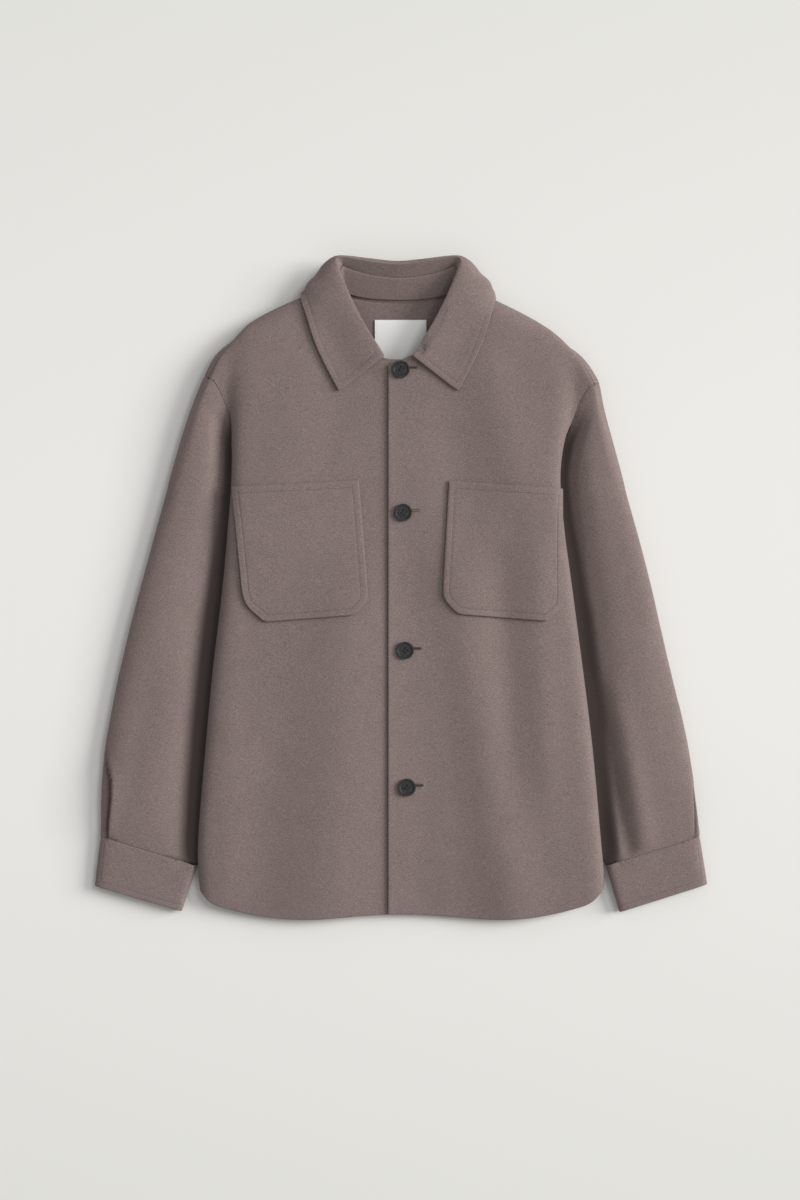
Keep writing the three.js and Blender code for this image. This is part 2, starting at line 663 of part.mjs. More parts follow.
function pocketGrid(side) {
  const shape = pockets[side];
  const rows = [];
  const addRow = (inner, outer) => rows.push(pocketShares.map((part) => {
    const x = mix(inner[0], outer[0], part);
    const y = mix(inner[1], outer[1], part);
    return pointOnFront(side, x, y);
  }));
  const blend = (a, b, t) => [mix(a[0], b[0], t), mix(a[1], b[1], t)];
  for (let i = 0; i <= 4; i += 1) {
    addRow(blend(shape.topIn, shape.sideIn, i / 4), blend(shape.topOut, shape.sideOut, i / 4));
  }
  addRow(blend(shape.sideIn, shape.lowIn, 0.5), blend(shape.sideOut, shape.lowOut, 0.5));
  addRow(shape.lowIn, shape.lowOut);
  return rows;
}

// Lifts a grid along its own outward normals.
function lifted(grid, distance, flip) {
  const rows = grid.length;
  const columns = grid[0].length;
  return grid.map((line, r) => line.map((point, c) => {
    const along = grid[Math.min(rows - 1, r + 1)][c].clone().sub(grid[Math.max(0, r - 1)][c]);
    const across = line[Math.min(columns - 1, c + 1)].clone().sub(line[Math.max(0, c - 1)]);
    const normal = across.cross(along).normalize().multiplyScalar(flip ? -1 : 1);
    return point.clone().addScaledVector(normal, distance);
  }));
}

function labelGrid() {
  const rows = [];
  for (let r = 0; r <= 2; r += 1) {
    const y = mix(label.bottom, label.top, r / 2);
    const rise = back.neckLift * smooth((y - shoulderStart) / (317 - shoulderStart));
    rows.push([label.left, 0, label.right].map((x) => new THREE.Vector3(
      x, y, rise + wall + label.gap + labelWall,
    )));
  }
  return rows;
}

// A four-hole button: a turned dish with a raised rim, its holes cut through.
function asManifold(geometry) {
  geometry.deleteAttribute("normal");
  geometry.deleteAttribute("uv");
  const merged = mergeVertices(geometry, 1e-4);
  return new wasm.Manifold(new wasm.Mesh({
    numProp: 3,
    vertProperties: merged.attributes.position.array,
    triVerts: new Uint32Array(merged.index.array),
  }));
}

function buttonGeometry() {
  const { radius, thick, rim, dish, chamfer, hole, holeOut, turn, sides } = button;
  const profile = [
    [0, 0], [radius - chamfer, 0], [radius, chamfer], [radius, thick - chamfer], [radius - chamfer, thick],
    [radius - rim, thick], [radius - rim - chamfer, thick - dish], [0, thick - dish],
  ].map(([x, y]) => new THREE.Vector2(x, y));
  const lathe = new THREE.LatheGeometry(profile, sides);
  lathe.rotateX(Math.PI / 2);
  let solid = asManifold(lathe);
  for (let i = 0; i < 4; i += 1) {
    const angle = THREE.MathUtils.degToRad(turn + 45 + 90 * i);
    const pin = new THREE.CylinderGeometry(hole, hole, thick * 3, 8);
    pin.rotateX(Math.PI / 2);
    pin.translate(Math.cos(angle) * holeOut, Math.sin(angle) * holeOut, 0);
    solid = solid.subtract(asManifold(pin));
  }
  const mesh = solid.getMesh();
  const geometry = new THREE.BufferGeometry();
  geometry.setAttribute("position", new THREE.Float32BufferAttribute(mesh.vertProperties, 3));
  geometry.setIndex([...mesh.triVerts]);
  return geometry;
}

const shacket = new THREE.Group();

function addPiece(name, geometry, finish) {
  const mesh = new THREE.Mesh(geometry, new THREE.MeshStandardMaterial(finish));
  mesh.name = name;
  shacket.add(mesh);
  return mesh;
}

for (const side of ["left", "right"]) {
  const flip = side === "right";
  const front = trimRows(copyGrid(fronts[side]).map((line) => trimEnd(line, seamGap)), seamGap);
  const seamWays = [...Array(flatSteps / 2).fill(null), ...shoulderNormals(side).slice(neckBack.length)];
  addPiece(`front_${side}`, clothSolid(front, wall, { flip, lastNormals: seamWays }), wool);
  addPiece(`sleeve_${side}`, clothSolid(sleeves[side], wall, { wraps: true, flip: !flip }), wool);
  addPiece(`cuff_${side}`, clothSolid(cuffGrid(side), cuffWall, { wraps: true, flip: !flip }), wool);
  const pocket = lifted(pocketGrid(side), pocketGap + wall, !flip);
  addPiece(`pocket_${side}`, clothSolid(pocket, wall, { flip: !flip }), wool);
}

const backPanel = copyGrid(backGrid())
  .map((line) => trimEnd(trimEnd(line, underarmGap).reverse(), underarmGap).reverse());
const backWays = [...shoulderNormals("right").reverse(), ...shoulderNormals("left").slice(1)];
addPiece("back", clothSolid(trimRows(backPanel, seamGap), wall, { flip: true, lastNormals: backWays }), wool);
const collar = collarSections();
addPiece("collar_stand", clothSolid(collar.slice(1, -1).map((section) => section.stand), wall), wool);
addPiece("collar_leaf", clothSolid(collar.map((section) => section.leaf), wall, { flip: true }), wool);
addPiece("label", clothSolid(labelGrid(), labelWall), satin);
buttonPlaces.forEach(({ x, y }, i) => {
  const mesh = addPiece(`button_${i + 1}`, buttonGeometry(), horn);
  mesh.position.set(x, y, frontHeight("left", Math.max(0, x), y) + layerGap);
});

// The origin is the middle of the footprint, on the surface.
const box = new THREE.Box3().setFromObject(shacket, true);
shacket.position.set(-(box.min.x + box.max.x) / 2, -(box.min.y + box.max.y) / 2, -box.min.z);

export default shacket;
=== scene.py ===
# A felted wool overshirt laid flat on its back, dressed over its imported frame.
# Everything is in metres: +X is the wearer's left, +Y the collar, +Z up from the surface it lies on.
import math

import bmesh
import bpy
from mathutils import Matrix, Vector
from mathutils.bvhtree import BVHTree
from mathutils.kdtree import KDTree


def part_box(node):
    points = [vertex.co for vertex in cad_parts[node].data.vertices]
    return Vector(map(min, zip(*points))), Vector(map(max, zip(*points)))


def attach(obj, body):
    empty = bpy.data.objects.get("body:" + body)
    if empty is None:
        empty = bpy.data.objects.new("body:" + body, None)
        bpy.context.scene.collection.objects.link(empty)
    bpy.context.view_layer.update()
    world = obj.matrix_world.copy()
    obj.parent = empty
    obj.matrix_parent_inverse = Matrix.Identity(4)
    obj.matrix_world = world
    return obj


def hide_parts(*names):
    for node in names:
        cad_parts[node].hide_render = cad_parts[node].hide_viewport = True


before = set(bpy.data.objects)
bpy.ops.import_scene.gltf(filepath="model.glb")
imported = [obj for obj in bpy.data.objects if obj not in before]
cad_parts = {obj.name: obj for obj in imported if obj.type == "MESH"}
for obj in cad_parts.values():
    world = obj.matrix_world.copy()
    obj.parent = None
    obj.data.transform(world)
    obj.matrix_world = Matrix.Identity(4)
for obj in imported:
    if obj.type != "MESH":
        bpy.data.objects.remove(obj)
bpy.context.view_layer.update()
bpy.ops.object.select_all(action="DESELECT")
mm = 0.001


def smooth(t):
    held = min(1.0, max(0.0, t))
    return held * held * (3 - 2 * held)


def mix(a, b, t):
    return a + (b - a) * t


# A table's rows as dictionaries, one value for each named column.
def table(columns, rows):
    return [dict(zip(columns, row)) for row in rows]


# Camera, floor and light
view = {
    "centre": (-1.2 * mm, -13.7 * mm),  # what the middle of the frame looks at
    "height": 1.404,  # the frame's height where the cloth lies
    "distance": 3.08,
    "sensor": 36,
    "clothHeight": 0.02,
    "clip": (0.1, 50),
}


def addCamera():
    bpy.ops.object.camera_add(
        location=(*view["centre"], view["distance"] + view["clothHeight"]), rotation=(0, 0, 0)
    )
    camera = bpy.context.object
    camera.name = "camera"
    camera.data.sensor_width = view["sensor"]
    camera.data.lens = view["sensor"] * view["distance"] / view["height"]
    camera.data.clip_start, camera.data.clip_end = view["clip"]
    bpy.context.scene.camera = camera


lights = {
    "key": {"place": (26, 6, 12.2), "size": 13, "power": 8700, "colour": (1.0, 0.99, 0.965)},
    "fill": {"place": (7, 4, 12), "size": 5, "power": 400, "colour": (0.99, 0.99, 0.99)},
    "sky": {"colour": (0.99, 0.99, 0.99), "strength": 0.41},
}
# The floor's colour is paler in the middle and darker towards its edges: a painted pool of light, not the
# paper's own colour.
floorSheet = {
    "size": 16,
    "up": -0.0006,  # just clear of the cloth that lies on it
    "near": (0.86, 0.85, 0.825),
    "far": (0.785, 0.785, 0.755),
    "nearStop": 0.85,
    "farStop": 0.25,
    "spread": (0.25, 1.0, 1.0),  # the paler middle is long across and short along
    "roughness": 0.9,
}


def addAreaLight(name, facts):
    bpy.ops.object.light_add(type="AREA", location=facts["place"])
    lamp = bpy.context.object
    lamp.name = name
    lamp.data.size = facts["size"]
    lamp.data.energy = facts["power"]
    lamp.data.color = facts["colour"]
    lamp.rotation_euler = (-Vector(facts["place"])).to_track_quat("-Z", "Y").to_euler()


def addStage():
    bpy.ops.mesh.primitive_plane_add(size=floorSheet["size"], location=(0, 0, 0))
    floor = bpy.context.object
    floor.name = "floor"
    floor.location = (0, 0, floorSheet["up"])
    paper = bpy.data.materials.new("paper")
    paper.use_nodes = True
    shader = paper.node_tree.nodes["Principled BSDF"]
    shader.inputs["Roughness"].default_value = floorSheet["roughness"]
    # The painted pool of light: a spherical gradient makes the paper paler in the middle.
    place = paper.node_tree.nodes.new("ShaderNodeTexCoord")
    spread = paper.node_tree.nodes.new("ShaderNodeMapping")
    spread.inputs["Scale"].default_value = floorSheet["spread"]
    glow = paper.node_tree.nodes.new("ShaderNodeTexGradient")
    glow.gradient_type = "SPHERICAL"
    lightPool = paper.node_tree.nodes.new("ShaderNodeValToRGB")
    for stop, end in zip(lightPool.color_ramp.elements, ("far", "near")):
        stop.position = floorSheet[f"{end}Stop"]
        stop.color = (*floorSheet[end], 1)
    link = paper.node_tree.links.new
    link(place.outputs["Object"], spread.inputs["Vector"])
    link(spread.outputs["Vector"], glow.inputs["Vector"])
    link(glow.outputs["Fac"], lightPool.inputs["Fac"])
    link(lightPool.outputs["Color"], shader.inputs["Base Color"])
    floor.data.materials.append(paper)
    for name in ("key", "fill"):
        addAreaLight(name, lights[name])
    world = bpy.data.worlds.new("studio")
    world.use_nodes = True
    background = world.node_tree.nodes["Background"]
    background.inputs["Color"].default_value = (*lights["sky"]["colour"], 1)
    background.inputs["Strength"].default_value = lights["sky"]["strength"]
    bpy.context.scene.world = world
    bpy.context.scene.view_settings.view_transform = "Standard"
    bpy.context.scene.view_settings.look = "None"


addCamera()
addStage()
print("camera and stage made")


# Shader maths
# A node output that can be used in Python arithmetic.
class Socket:
    def __init__(self, tree, output):
        self.tree = tree
        self.output = output

    def maths(self, operation, other=None, swapped=False):
        node = self.tree.nodes.new("ShaderNodeMath")
        node.operation = operation
        values = [self, other] if not swapped else [other, self]
        for i, value in enumerate(values):
            if isinstance(value, Socket):
                self.tree.links.new(value.output, node.inputs[i])
            elif value is not None:
                node.inputs[i].default_value = value
        return Socket(self.tree, node.outputs[0])

    def __add__(self, other):
        return self.maths("ADD", other)

    __radd__ = __add__

    def __sub__(self, other):
        return self.maths("SUBTRACT", other)

    def __rsub__(self, other):
        return self.maths("SUBTRACT", other, swapped=True)

    def __mul__(self, other):
        return self.maths("MULTIPLY", other)

    __rmul__ = __mul__

    def __truediv__(self, other):
        return self.maths("DIVIDE", other)

    def __pow__(self, other):
        return self.maths("POWER", other)


# One material and the nodes that are added to it.
class Finish:
    def __init__(self, name):
        self.material = bpy.data.materials.new(name)
        self.material.use_nodes = True
        self.tree = self.material.node_tree
        self.shader = self.tree.nodes["Principled BSDF"]

    def node(self, kind, settings=None, inputs=None, output=0):
        made = self.tree.nodes.new(kind)
        for name, value in (settings or {}).items():
            if name == "stops":
                ramp = made.color_ramp
                while len(ramp.elements) < len(value):
                    ramp.elements.new(0.5)
                for element, (place, colour) in zip(ramp.elements, value):
                    element.position = place
                    element.color = colour
            else:
                setattr(made, name, value)
        for name, value in (inputs or {}).items():
            if isinstance(value, Socket):
                self.tree.links.new(value.output, made.inputs[name])
            else:
                made.inputs[name].default_value = value
        return Socket(self.tree, made.outputs[output])

    def set(self, name, value):
        if isinstance(value, Socket):
            self.tree.links.new(value.output, self.shader.inputs[name])
        else:
            self.shader.inputs[name].default_value = value

    def objectPlace(self):
        return self.node("ShaderNodeTexCoord", output=3)

    def stretch(self, place, inputs):
        return self.node("ShaderNodeMapping", inputs={"Vector": place, **inputs})

    def noise(self, place, scale, inputs):
        return self.node("ShaderNodeTexNoise", inputs={"Vector": place, "Scale": scale, **inputs})

    def ramp(self, tone, stops):
        solid = [(stop, (*colour, 1)) for stop, colour in stops]
        return self.node("ShaderNodeValToRGB", settings={"stops": solid}, inputs={"Fac": tone})

    def bump(self, height, strength, depth):
        inputs = {"Height": height, "Strength": strength, "Distance": depth}
        self.set("Normal", self.node("ShaderNodeBump", inputs=inputs))


# Finishes
wool = {
    "colour": (0.213, 0.164, 0.154),
    "dark": (0.122, 0.093, 0.087),
    "light": (0.326, 0.257, 0.242),
    "stops": (0.28, 0.5, 0.74),
    # Shade painted on the sleeves beside the body. It isn't the cloth's own colour: it stands for a
    # shadow that is deeper in the photograph than the modelled fold gives.
    "inFold": (0.085, 0.064, 0.058),
    "fibre": 850,  # noise cells per metre: felted tufts of little more than a millimetre
    "hairFiner": 1.3,
    "hairTurn": math.radians(38),
    "hairScale": (0.34, 1.5, 1.0),
    "twill": 1100 / 6.0,
    "mottle": 60,
    "cloud": 9,
    "tone": {"fine": 0.62, "hairs": 0.44, "ribs": 0.03, "mottle": 0.07, "cloud": 0.08, "less": 0.12},
    "rise": {"fine": 0.55, "hairs": 0.45, "ribs": 0.05},
    "bump": 1.0,
    "bumpDepth": 0.45 * mm,
    "roughness": 0.95,
    "specular": 0.18,
    "sheen": 0.14,
    "sheenRoughness": 0.45,
    "sheenTint": (0.93, 0.86, 0.83, 1),
}


def makeWool():
    finish = Finish("wool")
    place = finish.objectPlace()
    fine = finish.noise(place, wool["fibre"], {"Detail": 3.0, "Roughness": 0.65})
    hair = finish.stretch(place, {"Rotation": (0, 0, wool["hairTurn"]), "Scale": wool["hairScale"]})
    hairs = finish.noise(hair, wool["fibre"] * wool["hairFiner"], {"Detail": 2.0, "Distortion": 0.6})
    ribs = finish.node(
        "ShaderNodeTexWave",
        settings={"wave_type": "BANDS", "bands_direction": "DIAGONAL"},
        inputs={
            "Vector": place, "Scale": wool["twill"], "Distortion": 2.2,
            "Detail": 1.0, "Detail Scale": 2.0,
        },
        output=1,
    )
    mottle = finish.noise(place, wool["mottle"], {"Detail": 4.0})
    cloud = finish.noise(place, wool["cloud"], {"Detail": 2.0})
    share = wool["tone"]
    tone = fine * share["fine"] + hairs * share["hairs"] + ribs * share["ribs"]
    tone = tone + mottle * share["mottle"] + cloud * share["cloud"] - share["less"]
    colour = finish.ramp(tone, zip(wool["stops"], (wool["dark"], wool["colour"], wool["light"])))
    # The painted shade on the sleeves: the wool colour is mixed towards a near-black brown by the share that
    # each vertex stores.
    inFold = finish.node("ShaderNodeAttribute", settings={"attribute_name": "inFold"}, output=2)
    shaded = finish.node(
        "ShaderNodeMix",
        settings={"data_type": "RGBA"},
        inputs={0: inFold, 6: colour, 7: (*wool["inFold"], 1)},
        output=2,
    )
    finish.set("Base Color", shaded)
    finish.set("Roughness", wool["roughness"])
    finish.set("Specular IOR Level", wool["specular"])
    finish.set("Sheen Weight", wool["sheen"])
    finish.set("Sheen Roughness", wool["sheenRoughness"])
    finish.set("Sheen Tint", wool["sheenTint"])
    rise = wool["rise"]
    height = fine * rise["fine"] + hairs * rise["hairs"] + ribs * rise["ribs"]
    finish.bump(height, wool["bump"], wool["bumpDepth"])
    return finish.material


thread = {"strands": 2400.0, "stops": (0.3, 0.7), "roughness": 0.8, "bump": 0.4, "bumpDepth": 0.1 * mm}


def makeThread(name, dark, light):
    finish = Finish(name)
    place = finish.objectPlace()
    strands = finish.noise(place, thread["strands"], {"Detail": 2.0})
    finish.set("Base Color", finish.ramp(strands, zip(thread["stops"], (dark, light))))
    finish.set("Roughness", thread["roughness"])
    finish.bump(strands, thread["bump"], thread["bumpDepth"])
    return finish.material


horn = {
    "streak": (1.0, 4.0, 1.0),
    "grain": 130.0,
    "stops": [(0.3, (0.016, 0.016, 0.017)), (0.75, (0.042, 0.042, 0.043))],
    "roughness": {"vary": 0.25, "base": 0.4},
    "specular": 0.32,
    "scuff": 900.0,
    "bump": 0.15,
    "bumpDepth": 0.05 * mm,
}


def makeHorn():
    finish = Finish("button")
    place = finish.objectPlace()
    streak = finish.stretch(place, {"Scale": horn["streak"]})
    grain = finish.noise(streak, horn["grain"], {"Detail": 4.0, "Distortion": 1.2})
    finish.set("Base Color", finish.ramp(grain, horn["stops"]))
    finish.set("Roughness", grain * horn["roughness"]["vary"] + horn["roughness"]["base"])
    finish.set("Specular IOR Level", horn["specular"])
    scuff = finish.noise(place, horn["scuff"], {"Detail": 2.0})
    finish.bump(scuff, horn["bump"], horn["bumpDepth"])
    return finish.material


satin = {
    "warp": (1.0, 0.12, 1.0),
    "threads": 4200.0,
    "cloud": 30.0,
    "each": 0.5,
    "stops": [(0.3, (0.88, 0.88, 0.87)), (0.7, (0.97, 0.965, 0.955))],
    "roughness": {"vary": 0.2, "base": 0.4},
    "sheen": 0.1,
    "bump": 0.25,
    "bumpDepth": 0.08 * mm,
}


def makeSatin():
    finish = Finish("satin")
    place = finish.objectPlace()
    warp = finish.stretch(place, {"Scale": satin["warp"]})
    threads = finish.noise(warp, satin["threads"], {"Detail": 1.0})
    cloud = finish.noise(place, satin["cloud"], {"Detail": 2.0})
    tone = threads * satin["each"] + cloud * satin["each"]
    finish.set("Base Color", finish.ramp(tone, satin["stops"]))
    finish.set("Roughness", threads * satin["roughness"]["vary"] + satin["roughness"]["base"])
    finish.set("Sheen Weight", satin["sheen"])
    finish.bump(threads, satin["bump"], satin["bumpDepth"])
    return finish.material


finishes = {
    "wool": makeWool(),
    "thread": makeThread("thread", (0.105, 0.08, 0.075), (0.18, 0.142, 0.132)),
    "button": makeHorn(),
    "satin": makeSatin(),
    "darkThread": makeThread("darkThread", (0.012, 0.012, 0.013), (0.03, 0.03, 0.032)),
    "bead": makeThread("bead", (0.055, 0.043, 0.04), (0.12, 0.095, 0.088)),
    # Near-black, for the painted shade in the buttonholes' slits.
    "slit": makeThread("slit", (0.008, 0.007, 0.007), (0.02, 0.018, 0.017)),
}
print("finishes made")


# Soft folds of the laid body, seen from above: each runs from its top to its bottom place.
# height is above (ridge) or below (trough) the plain form, width is half its breadth.
foldColumns = ("topX", "topY", "lowX", "lowY", "width", "height", "fade")
bodyFolds = table(
    foldColumns,
    [
        (-54, 20, -92, -420, 48, 6.4, 170),
        (-150, -150, -168, -420, 30, -1.8, 130),
        (-196, 20, -205, -395, 16, 0.8, 100),
        (56, 50, 140, -430, 33, 4.9, 150),
        (114, 40, 128, -230, 20, -2.8, 120),
        (158, 70, 172, -260, 20, 2.4, 120),
        (28, -200, 30, -420, 22, -1.2, 110),
        (92, 285, 146, 100, 30, 3.0, 90),
        (40, 215, 74, 110, 24, -1.2, 80),
        (-110, 260, -150, 110, 30, 1.0, 100),
        (-60, 230, -96, 120, 24, -0.8, 90),
    ],
)


# The height that the folds add at a place seen from above, in metres.
def foldHeight(folds, x, y):
    total = 0.0
    for fold in folds:
        ax, ay = fold["topX"] * mm, fold["topY"] * mm
        bx, by = fold["lowX"] * mm, fold["lowY"] * mm
        long = math.hypot(bx - ax, by - ay)
        wayX, wayY = (bx - ax) / long, (by - ay) / long
        along = (x - ax) * wayX + (y - ay) * wayY
        aside = (x - ax) * wayY - (y - ay) * wayX
        reach = fold["fade"] * mm
        strength = smooth(along / reach + 0.5) * smooth((long - along) / reach + 0.5)
        total += fold["height"] * mm * strength * math.exp(-((aside / (fold["width"] * mm)) ** 2))
    return total


# Cloth
cloth = {
    "merge": 0.02 * mm,
    "quadTopology": 1.6,
    "rimAngle": math.radians(52),
    "cornerAngle": math.radians(24),
    "rimRound": 0.9 * mm,  # how far a cut edge's corners are pressed back
    "seamRound": 0.12 * mm,
    "rimSoften": 0.15 * mm,
    "seamGap": 0.12 * mm,
    "seamReach": 4.5 * mm,
    "seamBlend": 9 * mm,
    "seamFacing": 0.35,  # how squarely an edge has to face the cloth that it is drawn to
    "sewnReach": 1.6 * mm,  # an edge with other cloth this near is a sewn one
    "sewnStart": 0.02 * mm,
    "sewnSoften": 0.3,
    "skinEdge": 0.97,
}


def addPiece(name, mesh):
    piece = bpy.data.objects.new(name, mesh)
    bpy.context.scene.collection.objects.link(piece)
    return piece


def shadeSmooth(mesh):
    for face in mesh.polygons:
        face.use_smooth = True


def pick(piece):
    bpy.ops.object.select_all(action="DESELECT")
    bpy.context.view_layer.objects.active = piece
    piece.select_set(True)


# A merged copy of a node's solid, its triangles joined into quads.
def startCloth(node):
    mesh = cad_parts[node].data.copy()
    mesh.materials.clear()
    piece = addPiece(f"{node}_cloth", mesh)
    pick(piece)
    bpy.ops.mesh.customdata_custom_splitnormals_clear()
    bpy.ops.object.mode_set(mode="EDIT")
    bpy.ops.mesh.select_all(action="SELECT")
    bpy.ops.mesh.remove_doubles(threshold=cloth["merge"])
    bpy.ops.mesh.tris_convert_to_quads(
        face_threshold=math.pi, shape_threshold=math.pi, topology_influence=cloth["quadTopology"]
    )
    bpy.ops.object.mode_set(mode="OBJECT")
    return piece


# Creases the rims and marks each vertex as part of the outer (1) or the inner wall (-1).
def markWalls(piece, outside, rimAngle):
    built = bmesh.new()
    built.from_mesh(piece.data)
    built.faces.ensure_lookup_table()
    crease = built.edges.layers.float.get("crease_edge") or built.edges.layers.float.new("crease_edge")
    skin = built.verts.layers.float.new("skin")
    sharp = {
        edge for edge in built.edges
        if len(edge.link_faces) == 2 and edge.calc_face_angle(0) > rimAngle
    }
    group = {}
    areas = []
    for face in built.faces:
        if face in group:
            continue
        number = len(areas)
        waiting = [face]
        group[face] = number
        total = 0.0
        while waiting:
            here = waiting.pop()
            total += here.calc_area()
            for edge in here.edges:
                if edge in sharp:
                    continue
                for other in edge.link_faces:
                    if other not in group:
                        group[other] = number
                        waiting.append(other)
        areas.append(total)
    walls = sorted(range(len(areas)), key=lambda i: -areas[i])[:2]
    if outside != "round":
        lean = {
            wall: sum(f.normal.z * f.calc_area() for f in built.faces if group[f] == wall)
            for wall in walls
        }
        walls.sort(key=lambda i: -lean[i] if outside == "up" else lean[i])
    rims = {face for face in built.faces if group[face] not in walls}
    for edge in built.edges:
        faces = edge.link_faces
        inRims = sum(face in rims for face in faces)
        if inRims == 1 or edge in sharp:
            edge[crease] = 1.0
        elif inRims == 2 and edge.calc_face_angle(0) > cloth["cornerAngle"]:
            edge[crease] = 1.0
    for vertex in built.verts:
        touching = {group[face] for face in vertex.link_faces}
        vertex[skin] = 1.0 if walls[0] in touching else -1.0
    print(f"{piece.name}: walls {areas[walls[0]]:.4f} {areas[walls[1]]:.4f}, {len(rims)} rim faces, "
          f"{len(areas)} parts")
    built.to_mesh(piece.data)
    built.free()


def refine(piece, levels):
    pick(piece)
    finer = piece.modifiers.new("finer", "SUBSURF")
    finer.levels = levels
    finer.render_levels = levels
    finer.boundary_smooth = "PRESERVE_CORNERS"
    bpy.ops.object.modifier_apply(modifier=finer.name)


def skinOf(piece):
    return [value.value for value in piece.data.attributes["skin"].data]


# A search tree of numbered places.
def treeAt(places):
    tree = KDTree(len(places))
    for i, place in places.items():
        tree.insert(place, i)
    tree.balance()
    return tree


def treeOf(piece):
    mesh = piece.data
    return BVHTree.FromPolygons(
        [vertex.co.copy() for vertex in mesh.vertices], [tuple(face.vertices) for face in mesh.polygons]
    )


# For each vertex of the cut edges, the way that the edge faces.
def rimWays(piece):
    skin = skinOf(piece)
    ways = {}
    for face in piece.data.polygons:
        if min(abs(skin[i]) for i in face.vertices) > cloth["skinEdge"]:
            continue
        for i in face.vertices:
            ways[i] = ways.get(i, Vector()) + face.normal * face.area
    return {i: way.normalized() for i, way in ways.items() if way.length > 0}


# Draws a cut edge up to the cloth that it is sewn to, with the cloth near it following.
def closeSeam(piece, neighbours):
    ways = rimWays(piece)
    trees = [treeOf(made[name]) for name in neighbours]
    vertices = piece.data.vertices
    moves = {}
    for i, way in ways.items():
        here = vertices[i].co
        best = None
        for tree in trees:
            place, _, _, distance = tree.find_nearest(here, cloth["seamReach"])
            if place is None or distance <= cloth["seamGap"]:
                continue
            facing = (place - here).normalized().dot(way)
            if facing > cloth["seamFacing"] and (best is None or distance < best[1]):
                best = (place, distance)
        if best:
            moves[i] = (best[0] - here) * (1 - cloth["seamGap"] / best[1])
    near = treeAt({i: vertices[i].co for i in moves})
    shifts = {}
    for vertex in vertices:
        if vertex.index in moves:
            shifts[vertex.index] = moves[vertex.index]
            continue
        if not moves:
            break
        _, i, distance = near.find(vertex.co)
        if distance < cloth["seamBlend"]:
            shifts[vertex.index] = moves[i] * smooth(1 - distance / cloth["seamBlend"])
    for i, shift in shifts.items():
        vertices[i].co += shift
    piece.data.update()
    print(f"{piece.name}: {len(moves)} edge points drawn to their seam")


# Rounds the cut edges over, less where other cloth is sewn to them. Gives back the free ones' ways.
def roundRims(piece, trees):
    mesh = piece.data
    skin = skinOf(piece)
    ways = rimWays(piece)
    free = {}
    normals = [vertex.normal.copy() for vertex in mesh.vertices]
    for i, way in ways.items():
        vertex = mesh.vertices[i]
        start = vertex.co + way * cloth["sewnStart"]
        sewn = any(tree.ray_cast(start, way, cloth["sewnReach"])[0] is not None for tree in trees)
        if not sewn:
            free[i] = way
        back = cloth["seamRound"] if sewn else cloth["rimRound"]
        vertex.co -= way * back * skin[i] ** 2
        if abs(skin[i]) > cloth["skinEdge"]:
            inward = normals[i] - way * normals[i].dot(way)
            if inward.length > 0:
                soften = cloth["rimSoften"] * (cloth["sewnSoften"] if sewn else 1)
                vertex.co -= inward.normalized() * soften
    mesh.update()
    return free


# The free cut edge on the outer wall, as pairs of vertex numbers.
def outerOutline(piece, free):
    skin = skinOf(piece)
    rim = {i for i in free if skin[i] > cloth["skinEdge"]}
    return [tuple(edge.vertices) for edge in piece.data.edges if set(edge.vertices) <= rim]


# A search tree of the points on an outline, middles of its edges too.
def treeAlong(piece, outline):
    vertices = piece.data.vertices
    points = [vertices[i].co for i in sorted({i for pair in outline for i in pair})]
    points += [(vertices[a].co + vertices[b].co) / 2 for a, b in outline]
    return treeAt(dict(enumerate(points)))


band = {
    "width": 7 * mm,  # from the edge to the stitch line
    "groove": 0.32 * mm,
    "grooveHalf": 0.9 * mm,
    "puff": 0.06 * mm,
    "ends": 14 * mm,  # nothing further in than this moves
}


# Presses a stitch line in at an even distance from the free edge. Gives back the outline used.
def stitchedBand(piece, free):
    mesh = piece.data
    skin = skinOf(piece)
    outline = outerOutline(piece, free)
    tree = treeAlong(piece, outline)
    gaps = {}
    for vertex in mesh.vertices:
        if skin[vertex.index] > cloth["skinEdge"]:
            gaps[vertex.index] = tree.find(vertex.co)[2]
    for i, gap in gaps.items():
        if gap > band["ends"]:
            continue
        line = math.exp(-(((gap - band["width"]) / band["grooveHalf"]) ** 2))
        inBand = math.sin(math.pi * min(1.0, gap / band["width"])) if gap < band["width"] else 0
        vertex = mesh.vertices[i]
        vertex.co += vertex.normal * (band["puff"] * inBand - band["groove"] * line)
    mesh.update()
    return outline


pocketSoft = {"rounds": 26, "reach": 10 * mm, "least": 0.02 * mm, "level": 0.5}


# Eases a patch's lower corners round, both walls together.
def softenCorners(piece):
    mesh = piece.data
    ways = rimWays(piece)
    beside = {}
    for edge in mesh.edges:
        a, b = edge.vertices
        if a in ways and b in ways:
            along = mesh.vertices[b].co - mesh.vertices[a].co
            if abs(along.z) < pocketSoft["level"] * along.length:
                beside.setdefault(a, []).append(b)
                beside.setdefault(b, []).append(a)
    middle = sum(mesh.vertices[i].co.y for i in ways) / len(ways)
    low = [i for i, others in beside.items() if len(others) == 2 and mesh.vertices[i].co.y < middle]
    places = {i: mesh.vertices[i].co.xy for i in beside}
    for _ in range(pocketSoft["rounds"]):
        places.update({i: (places[beside[i][0]] + places[beside[i][1]]) / 2 for i in low})
    moves = {i: places[i] - mesh.vertices[i].co.xy for i in low}
    moves = {i: move for i, move in moves.items() if move.length > pocketSoft["least"]}
    near = treeAt({i: mesh.vertices[i].co for i in moves})
    for vertex in mesh.vertices:
        if vertex.index in moves:
            continue
        _, i, away = near.find(vertex.co)
        if away < pocketSoft["reach"] and vertex.index not in ways:
            move = moves[i] * smooth(1 - away / pocketSoft["reach"])
            vertex.co += Vector((move.x, move.y, 0))
    for i, move in moves.items():
        mesh.vertices[i].co += Vector((move.x, move.y, 0))
    mesh.update()


